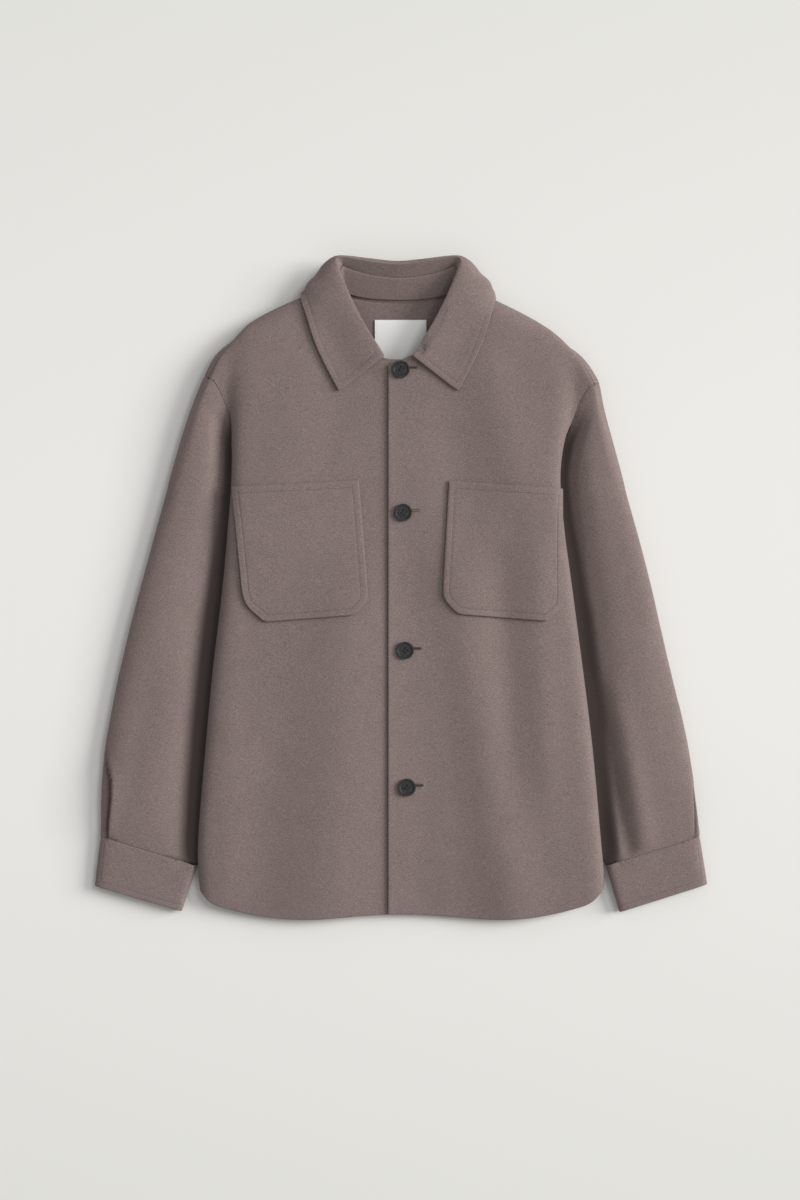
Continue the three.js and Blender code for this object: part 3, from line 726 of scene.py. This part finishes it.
# Orders loose edges into lines of vertex numbers.
def chains(pairs):
    beside = {}
    for a, b in pairs:
        beside.setdefault(a, []).append(b)
        beside.setdefault(b, []).append(a)
    left = set(beside)
    lines = []
    while left:
        ends = [i for i in left if len(beside[i]) == 1]
        here = min(ends) if ends else min(left)
        line = [here]
        left.discard(here)
        while True:
            step = [i for i in beside[line[-1]] if i in left]
            if not step:
                break
            line.append(step[0])
            left.discard(step[0])
        if not ends and line[0] in beside[line[-1]]:
            line.append(line[0])
        lines.append(line)
    return lines


stitch = {
    "pitch": 3.4 * mm,
    "long": 2.5 * mm,
    "radius": 0.3 * mm,
    "up": 0.05 * mm,
    "slack": 0.45 * mm,  # a stitch may lie this much nearer the edge than the line
    "longestStep": 10.2 * mm,  # a longer step between two points starts a new run
}


def stitchTemplate():
    bpy.ops.object.select_all(action="DESELECT")
    bpy.ops.mesh.primitive_uv_sphere_add(segments=6, ring_count=5, radius=1, rotation=(0, math.pi / 2, 0))
    bead = bpy.context.object
    bpy.ops.object.transform_apply(rotation=True)
    bead.scale = (stitch["long"] / 2, stitch["radius"], stitch["radius"])
    bpy.ops.object.transform_apply(scale=True)
    return bead


# A thread stitch every few millimetres along the pressed line.
def stitchRuns(name, piece, outline, ways):
    mesh = piece.data
    tree = treeOf(piece)
    edgeTree = treeAlong(piece, outline)
    spots = []
    for line in chains(outline):
        points = []
        for i in line:
            inside = mesh.vertices[i].co - ways[i] * band["width"]
            place, normal, _, _ = tree.find_nearest(inside)
            if edgeTree.find(place)[2] > band["width"] - stitch["slack"]:
                points.append((place, normal))
        run = 0.0
        for (a, normalA), (b, _) in zip(points, points[1:]):
            length = (b - a).length
            if length > stitch["longestStep"] or length == 0:
                run = 0.0
                continue
            while run < length:
                spots.append((a.lerp(b, run / length), (b - a).normalized(), normalA))
                run += stitch["pitch"]
            run -= length
    bead = stitchTemplate()
    shape = [vertex.co.copy() for vertex in bead.data.vertices]
    faces = [tuple(face.vertices) for face in bead.data.polygons]
    allPoints = []
    allFaces = []
    for place, way, normal in spots:
        side = normal.cross(way).normalized()
        turn = Matrix((way, side, way.cross(side))).transposed()
        base = len(allPoints)
        allPoints += [place + normal * stitch["up"] + turn @ point for point in shape]
        allFaces += [tuple(base + i for i in face) for face in faces]
    bpy.data.objects.remove(bead)
    run = bpy.data.meshes.new(name)
    run.from_pydata(allPoints, [], allFaces)
    stitches = addPiece(name, run)
    stitches.data.materials.append(finishes["thread"])
    shadeSmooth(run)
    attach(stitches, "root")
    print(f"{name}: {len(spots)} stitches")


# Moves every vertex by what move(place) gives.
def shiftPoints(piece, move):
    for vertex in piece.data.vertices:
        vertex.co += move(vertex.co)
    piece.data.update()


def onBody(place):
    return Vector((0, 0, foldHeight(bodyFolds, place.x, place.y)))


# Small shifts of the collar's outline, each fading out over its reach.
nudgeColumns = ("x", "y", "moveX", "moveY", "reach")
collarNudges = table(
    nudgeColumns,
    [
        (-109, 356, -2.6, 1.8, 9),
        (102, 357, 3.2, 2.8, 11),
        (-121, 346, 2.0, -0.5, 7),
        (117, 347, -4.4, -1.2, 7),
    ],
)


def onCollar(place):
    move = Vector((0, 0, 0))
    for nudge in collarNudges:
        away = math.hypot(place.x - nudge["x"] * mm, place.y - nudge["y"] * mm)
        share = math.exp(-((away / (nudge["reach"] * mm)) ** 2))
        move += Vector((nudge["moveX"] * mm, nudge["moveY"] * mm, 0)) * share
    return move


closure = {"x": -15 * mm, "lift": 1.3 * mm, "fade": 10 * mm}


def onTopFront(place):
    share = math.exp(-max(0.0, place.x - closure["x"]) / closure["fade"])
    return onBody(place) + Vector((0, 0, closure["lift"] * share))


# Soft folds of the sleeves, and the pleat above each cuff.
sleeveFolds = table(
    foldColumns,
    [
        (230, -110, 274, -335, 9, -3.6, 60),
        (252, -120, 296, -345, 14, 2.6, 80),
        (300, -60, 322, -200, 14, -1.0, 90),
        (268, 90, 300, -40, 16, 0.9, 90),
        (-262, 60, -290, -80, 16, 0.9, 90),
        (-290, -100, -318, -240, 14, -0.9, 90),
        (-242, -200, -262, -330, 12, 0.9, 80),
    ],
)
# How far out the pleat's edge stands on each side, down the sleeve.
pleatColumns = ("y", "left", "right")
pleatLine = table(
    pleatColumns,
    [
        (-190, 341, 344),
        (-207, 342, 344),
        (-225, 343.5, 340),
        (-248, 343.5, 340),
        (-272, 344, 342.5),
        (-300, 344, 344),
    ],
)
pleat = {
    "depth": 6.5 * mm,
    "reach": 9 * mm,
    "lip": 1.8 * mm,
    "step": 1.0 * mm,
    "from": -185 * mm,
    "full": -222 * mm,
}
# How the sleeve dips where it goes in under the body's folded side.
dip = {
    "leftReach": 22 * mm,
    "rightReach": 27 * mm,
    "from": 215 * mm,
    "fade": 50 * mm,
    "floor": 4.6 * mm,
    "keep": 0.15,  # the share of the sleeve's height above its floor that is left
    "bin": 20 * mm,  # the body's edge is read once in each such length
    "topFrom": 5 * mm,  # only the upper wall moves
    "topFade": 4 * mm,
}
# Where the painted shade lies: beside the body, along the crease and outside the pleat.
shadePaint = {
    "full": 12 * mm,
    "leftEnd": 26 * mm,
    "rightEnd": 30 * mm,
    "upper": 0.5,
    "upperFrom": 140 * mm,
    "upperFade": 200 * mm,
    "crease": 0.28,
    "creaseHalf": 9 * mm,
    "creaseLead": 10,
    "creaseInside": 2,
    "creaseOutside": 0.7,
    "creaseFade": 4,
    "pleat": 0.8,
    "pleatReach": 3.5 * mm,
    "pleatInside": -0.2,
}
cuffSeam = {"outX": 352 * mm, "outY": -291 * mm, "inX": 239 * mm, "inY": -326 * mm, "hold": 12 * mm}


def pleatPlace(side, y):
    for a, b in zip(pleatLine, pleatLine[1:]):
        if b["y"] * mm <= y:
            share = min(1.0, max(0.0, (a["y"] * mm - y) / ((a["y"] - b["y"]) * mm)))
            return mix(a[side], b[side], share) * mm
    return pleatLine[-1][side] * mm


# The body's outermost x on each side, for each stretch of its length.
def bodyEdge():
    edge = {"left": {}, "right": {}}
    for name in ("front_left", "front_right"):
        for vertex in made[name].data.vertices:
            x, y, _ = vertex.co
            side = "left" if x > 0 else "right"
            number = math.floor(y / dip["bin"])
            edge[side][number] = max(edge[side].get(number, 0), abs(x))
    return edge


# How far a place is outside the body's edge, or None above the armhole.
def pastBody(place, side):
    number = place.y / dip["bin"] - 0.5
    low = math.floor(number)
    line = sides[side]
    if low not in line or low + 1 not in line:
        return None
    return abs(place.x) - mix(line[low], line[low + 1], number - low)


def dipShare(place, side):
    out = pastBody(place, side)
    if out is None:
        return 0
    return smooth((dip["from"] - place.y) / dip["fade"]) * smooth(1 - out / dip[f"{side}Reach"])


# How much shade is painted: full beside the body, none on the open sleeve.
def shadePaintShare(place, side):
    out = pastBody(place, side)
    if out is None:
        return 0
    wide = mix(shadePaint["upper"], 1, smooth((shadePaint["upperFrom"] - place.y) / shadePaint["upperFade"]))
    end = shadePaint[f"{side}End"] * wide
    share = smooth((end - out) / (end - shadePaint["full"] * wide)) * smooth((dip["from"] - place.y) / dip["fade"])
    fold = sleeveFolds[0]
    if side == "left" and place.y < (fold["topY"] + shadePaint["creaseLead"]) * mm:
        along = (place.y / mm - fold["topY"]) / (fold["lowY"] - fold["topY"])
        away = place.x - mix(fold["topX"], fold["lowX"], along) * mm
        wide = shadePaint["creaseHalf"] * shadePaint["creaseInside" if away < 0 else "creaseOutside"]
        ending = smooth(shadePaint["creaseFade"] - shadePaint["creaseFade"] * along)
        share = max(share, shadePaint["crease"] * ending * math.exp(-((away / wide) ** 2)))
    outside = (abs(place.x) - pleatPlace(side, place.y)) / shadePaint["pleatReach"]
    if outside > shadePaint["pleatInside"] and place.y < pleat["from"]:
        strength = smooth((pleat["from"] - place.y) / (pleat["from"] - pleat["full"]))
        share = max(share, shadePaint["pleat"] * strength * math.exp(-outside * outside))
    return share


# Stores on each vertex of a sleeve how much painted shade it gets.
def markShadePaint(piece):
    layer = piece.data.attributes.new("inFold", "FLOAT", "POINT")
    for i, vertex in enumerate(piece.data.vertices):
        layer.data[i].value = shadePaintShare(vertex.co, "left" if vertex.co.x > 0 else "right")


def onSleeve(place):
    side = "left" if place.x > 0 else "right"
    height = foldHeight(sleeveFolds, place.x, place.y)
    strength = smooth((pleat["from"] - place.y) / (pleat["from"] - pleat["full"]))
    if strength > 0:
        out = abs(place.x) - pleatPlace(side, place.y)
        low = -pleat["depth"] * math.exp(-max(0.0, out) / pleat["reach"])
        lip = pleat["lip"] * math.exp(-((out / pleat["reach"]) ** 2))
        height += strength * mix(lip, low, smooth(out / pleat["step"] + 0.5))
    onTop = smooth((place.z - dip["topFrom"]) / dip["topFade"])
    height *= onTop
    lowest = dip["floor"] + dip["keep"] * (place.z - dip["floor"])
    room = min(0, lowest - place.z)
    height = max(height, room)
    height = mix(height, room, dipShare(place, side))
    along = (abs(place.x) - cuffSeam["inX"]) / (cuffSeam["outX"] - cuffSeam["inX"])
    seamY = mix(cuffSeam["inY"], cuffSeam["outY"], along)
    return Vector((0, 0, height * smooth((place.y - seamY) / cuffSeam["hold"])))


def finishCloth(piece, node, facts):
    piece.data.materials.append(finishes[facts.get("finish", "wool")])
    shadeSmooth(piece.data)
    piece.data.attributes.remove(piece.data.attributes["skin"])
    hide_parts(node)
    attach(piece, "root")
    half = sum(face.area for face in piece.data.polygons) / 2
    flat = facts["flat"]
    print(f"{piece.name}: {len(piece.data.polygons) * 2} triangles, half surface {half:.4f} m2, "
          f"share {half / facts.get('area', flat[0] * flat[1]):.2f}")


clothPieces = {
    "back": {"outside": "down", "levels": 2, "flat": (0.56, 0.79), "area": 0.36, "on": ["floor"]},
    "front_left": {
        "outside": "up", "levels": 3, "rimAngle": math.radians(45),
        "flat": (0.28, 0.75), "area": 0.175, "on": ["back_cloth"],
    },
    "front_right": {
        "outside": "up", "levels": 3, "rimAngle": math.radians(45),
        "flat": (0.29, 0.75), "area": 0.18, "on": ["back_cloth"],
    },
    "sleeve_left": {"outside": "round", "levels": 3, "flat": (0.42, 0.52), "area": 0.15, "on": ["floor"]},
    "sleeve_right": {"outside": "round", "levels": 3, "flat": (0.42, 0.52), "area": 0.15, "on": ["floor"]},
    "cuff_left": {"outside": "round", "levels": 3, "flat": (0.24, 0.06), "on": ["floor"]},
    "cuff_right": {"outside": "round", "levels": 3, "flat": (0.24, 0.06), "on": ["floor"]},
    "collar_stand": {"outside": "up", "levels": 3, "flat": (0.3, 0.03), "area": 0.0075, "on": ["back_cloth"]},
    "collar_leaf": {"outside": "up", "levels": 3, "flat": (0.44, 0.1), "on": ["front_left_cloth"]},
    "pocket_left": {"outside": "up", "levels": 4, "flat": (0.145, 0.165), "on": ["front_left_cloth"]},
    "pocket_right": {"outside": "up", "levels": 4, "flat": (0.15, 0.165), "on": ["front_right_cloth"]},
    "label": {
        "outside": "up", "levels": 4, "flat": (0.061, 0.053), "on": ["back_cloth"],
        "finish": "satin", "slot": "label",
    },
}
sewnTo = {
    "back": ["front_left", "front_right"],
    "sleeve_left": ["front_left", "back"],
    "sleeve_right": ["front_right", "back"],
    "cuff_left": ["sleeve_left"],
    "cuff_right": ["sleeve_right"],
    "collar_stand": ["back", "front_left", "front_right"],
    "collar_leaf": ["collar_stand"],
}
made = {}
for node, facts in clothPieces.items():
    made[node] = startCloth(node)
    markWalls(made[node], facts["outside"], facts.get("rimAngle", cloth["rimAngle"]))
    refine(made[node], facts["levels"])
for node, neighbours in sewnTo.items():
    closeSeam(made[node], neighbours)
for node in ("pocket_left", "pocket_right"):
    softenCorners(made[node])
print("cloth laid")

sides = bodyEdge()
trees = {node: treeOf(piece) for node, piece in made.items()}
joined = {node: set(neighbours) for node, neighbours in sewnTo.items()}
for node, neighbours in sewnTo.items():
    for other in neighbours:
        joined.setdefault(other, set()).add(node)
for node, piece in made.items():
    free = roundRims(piece, [trees[other] for other in sorted(joined.get(node, ()))])
    outline = None
    if node.startswith("pocket") or node == "collar_leaf":
        outline = stitchedBand(piece, free)
    if node == "collar_leaf":
        shiftPoints(piece, onCollar)
    if node.startswith("cuff"):
        outline = stitchedBand(piece, free)
    if node == "front_left":
        shiftPoints(piece, onTopFront)
    if node == "front_right" or node.startswith("pocket"):
        shiftPoints(piece, onBody)
    if node.startswith("sleeve"):
        # Painted shade on the sleeves beside the body, along the crease and outside the pleat.
        markShadePaint(piece)
        shiftPoints(piece, onSleeve)
    if outline:
        stitchRuns(f"{node}_stitches", piece, outline, free)
    finishCloth(piece, node, clothPieces[node])
print("cloth made")


# Buttons and buttonholes
button = {
    "radius": 10.15 * mm,
    "thick": 4.0 * mm,
    "rim": 1.7 * mm,
    "dish": 1.0 * mm,
    "slope": 0.9 * mm,
    "hole": 0.95 * mm,
    "holeOut": 2.5 * mm,
    "turn": math.radians(-33),
    "edge": 0.5 * mm,
    "wellIn": 1.4 * mm,
    "wellUp": 0.12 * mm,
    "barShare": 0.92,  # a bar's half length, as a share of how far out the holes are
    "barHalfWide": 0.62 * mm,
    "barHalfHigh": 0.75 * mm,
    "barUp": 0.1 * mm,
    "places": ("button_1", "button_2", "button_3", "button_4"),
}


# Selects the one face that looks up at this height.
def pressFace(piece, height):
    bpy.ops.mesh.select_all(action="DESELECT")
    built = bmesh.from_edit_mesh(piece.data)
    built.select_mode = {"FACE"}
    for face in built.faces:
        middle = face.calc_center_median()
        level = face.normal.z > 0.9 and abs(middle.z - height) < 0.05 * mm
        face.select = level and middle.xy.length < 1 * mm
    bmesh.update_edit_mesh(piece.data)


def makeButton():
    bpy.ops.object.select_all(action="DESELECT")
    bpy.ops.mesh.primitive_cylinder_add(
        vertices=72, radius=button["radius"], depth=button["thick"], location=(0, 0, button["thick"] / 2)
    )
    piece = bpy.context.object
    bpy.ops.object.transform_apply(location=True)
    bpy.ops.object.mode_set(mode="EDIT")
    pressFace(piece, button["thick"])
    bpy.ops.mesh.inset(thickness=button["rim"])
    bpy.ops.mesh.inset(thickness=button["slope"], depth=-button["dish"])
    bpy.ops.mesh.inset(thickness=button["wellIn"], depth=button["wellUp"])
    bpy.ops.object.mode_set(mode="OBJECT")
    holes = []
    for i in range(4):
        angle = button["turn"] + math.radians(45 + 90 * i)
        bpy.ops.object.select_all(action="DESELECT")
        bpy.ops.mesh.primitive_cylinder_add(
            vertices=24, radius=button["hole"], depth=button["thick"] * 3,
            location=(math.cos(angle) * button["holeOut"], math.sin(angle) * button["holeOut"], 0),
        )
        holes.append(bpy.context.object)
    for pin in holes:
        pick(piece)
        cut = piece.modifiers.new("hole", "BOOLEAN")
        cut.operation = "DIFFERENCE"
        cut.solver = "EXACT"
        cut.object = pin
        bpy.ops.object.modifier_apply(modifier=cut.name)
        bpy.data.objects.remove(pin)
    soft = piece.modifiers.new("soft", "BEVEL")
    soft.width = button["edge"]
    soft.segments = 3
    soft.limit_method = "ANGLE"
    soft.angle_limit = math.radians(35)
    bpy.ops.object.modifier_apply(modifier=soft.name)
    bpy.ops.object.shade_smooth_by_angle(angle=math.radians(40))
    piece.data.materials.append(finishes["button"])
    return piece


# Two parallel bars of thread, each from hole to hole.
def makeButtonThread():
    bars = []
    for side in (1, -1):
        bpy.ops.object.select_all(action="DESELECT")
        bpy.ops.mesh.primitive_uv_sphere_add(
            segments=14, ring_count=10, radius=1, rotation=(0, math.pi / 2, 0)
        )
        bar = bpy.context.object
        bpy.ops.object.transform_apply(rotation=True)
        bar.scale = (button["holeOut"] * button["barShare"], button["barHalfWide"], button["barHalfHigh"])
        bpy.ops.object.transform_apply(scale=True)
        across = button["holeOut"] * math.sin(math.radians(45)) * side
        bar.location = (
            -math.sin(button["turn"]) * across,
            math.cos(button["turn"]) * across,
            button["thick"] - button["dish"] + button["barUp"],
        )
        bar.rotation_euler = (0, 0, button["turn"])
        bars.append(bar)
    bpy.ops.object.select_all(action="DESELECT")
    for bar in bars:
        bar.select_set(True)
    bpy.context.view_layer.objects.active = bars[0]
    bpy.ops.object.join()
    bpy.ops.object.transform_apply(location=True, rotation=True)
    bars[0].data.materials.append(finishes["darkThread"])
    shadeSmooth(bars[0].data)
    return bars[0]


buttonhole = {
    "from": -4 * mm,
    "to": 19.5 * mm,
    "up": 2.3 * mm,
    "slit": 0.35 * mm,
    "bead": 0.75 * mm,
    "beadFlat": 0.75,
    "slitWide": 1.6,
    "slitDeep": 0.5 * mm,
    "beadDrop": -0.35 * mm,
    "slitDrop": -0.5 * mm,
}


# A long ring of close stitches round a near-black disc that stands for the slit: painted shade in the cut.
def makeButtonhole():
    bpy.ops.object.select_all(action="DESELECT")
    bpy.ops.mesh.primitive_torus_add(
        major_segments=64, minor_segments=12,
        major_radius=buttonhole["slit"] + buttonhole["bead"], minor_radius=buttonhole["bead"],
    )
    ring = bpy.context.object
    half = (buttonhole["to"] - buttonhole["from"]) / 2 - buttonhole["slit"] - 2 * buttonhole["bead"]
    for vertex in ring.data.vertices:
        vertex.co.x += half if vertex.co.x > 0 else -half
        vertex.co.z *= buttonhole["beadFlat"]
        vertex.co.x += (buttonhole["from"] + buttonhole["to"]) / 2
        vertex.co.y += buttonhole["up"]
    ring.data.materials.append(finishes["bead"])
    shadeSmooth(ring.data)
    bpy.ops.object.select_all(action="DESELECT")
    # The slit: a near-black disc, painted shade where the cut opens.
    bpy.ops.mesh.primitive_cylinder_add(vertices=32, radius=1, depth=buttonhole["slitDeep"])
    slit = bpy.context.object
    for vertex in slit.data.vertices:
        vertex.co.x *= half + buttonhole["slit"]
        vertex.co.y *= buttonhole["slit"] * buttonhole["slitWide"]
        vertex.co.x += (buttonhole["from"] + buttonhole["to"]) / 2
        vertex.co.y += buttonhole["up"]
    slit.data.materials.append(finishes["slit"])
    return [ring, slit]


# One copy of a template for each button's place.
def placeCopies(template, label, replaces, drop):
    for name in button["places"]:
        low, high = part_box(name)
        middle = (low + high) / 2
        base = low.z + foldHeight(bodyFolds, middle.x, middle.y)
        copy = addPiece(f"{name}_{label}", template.data.copy())
        copy.data.transform(Matrix.Translation((middle.x, middle.y, base + drop)))
        if replaces:
            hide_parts(name)
        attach(copy, "root")
    bpy.data.objects.remove(template)


placeCopies(makeButton(), "horn", True, 0)
placeCopies(makeButtonThread(), "thread", False, 0)
ringPiece, slitShadePiece = makeButtonhole()
placeCopies(ringPiece, "hole", False, buttonhole["beadDrop"])
placeCopies(slitShadePiece, "slit", False, buttonhole["slitDrop"])
print("buttons made")
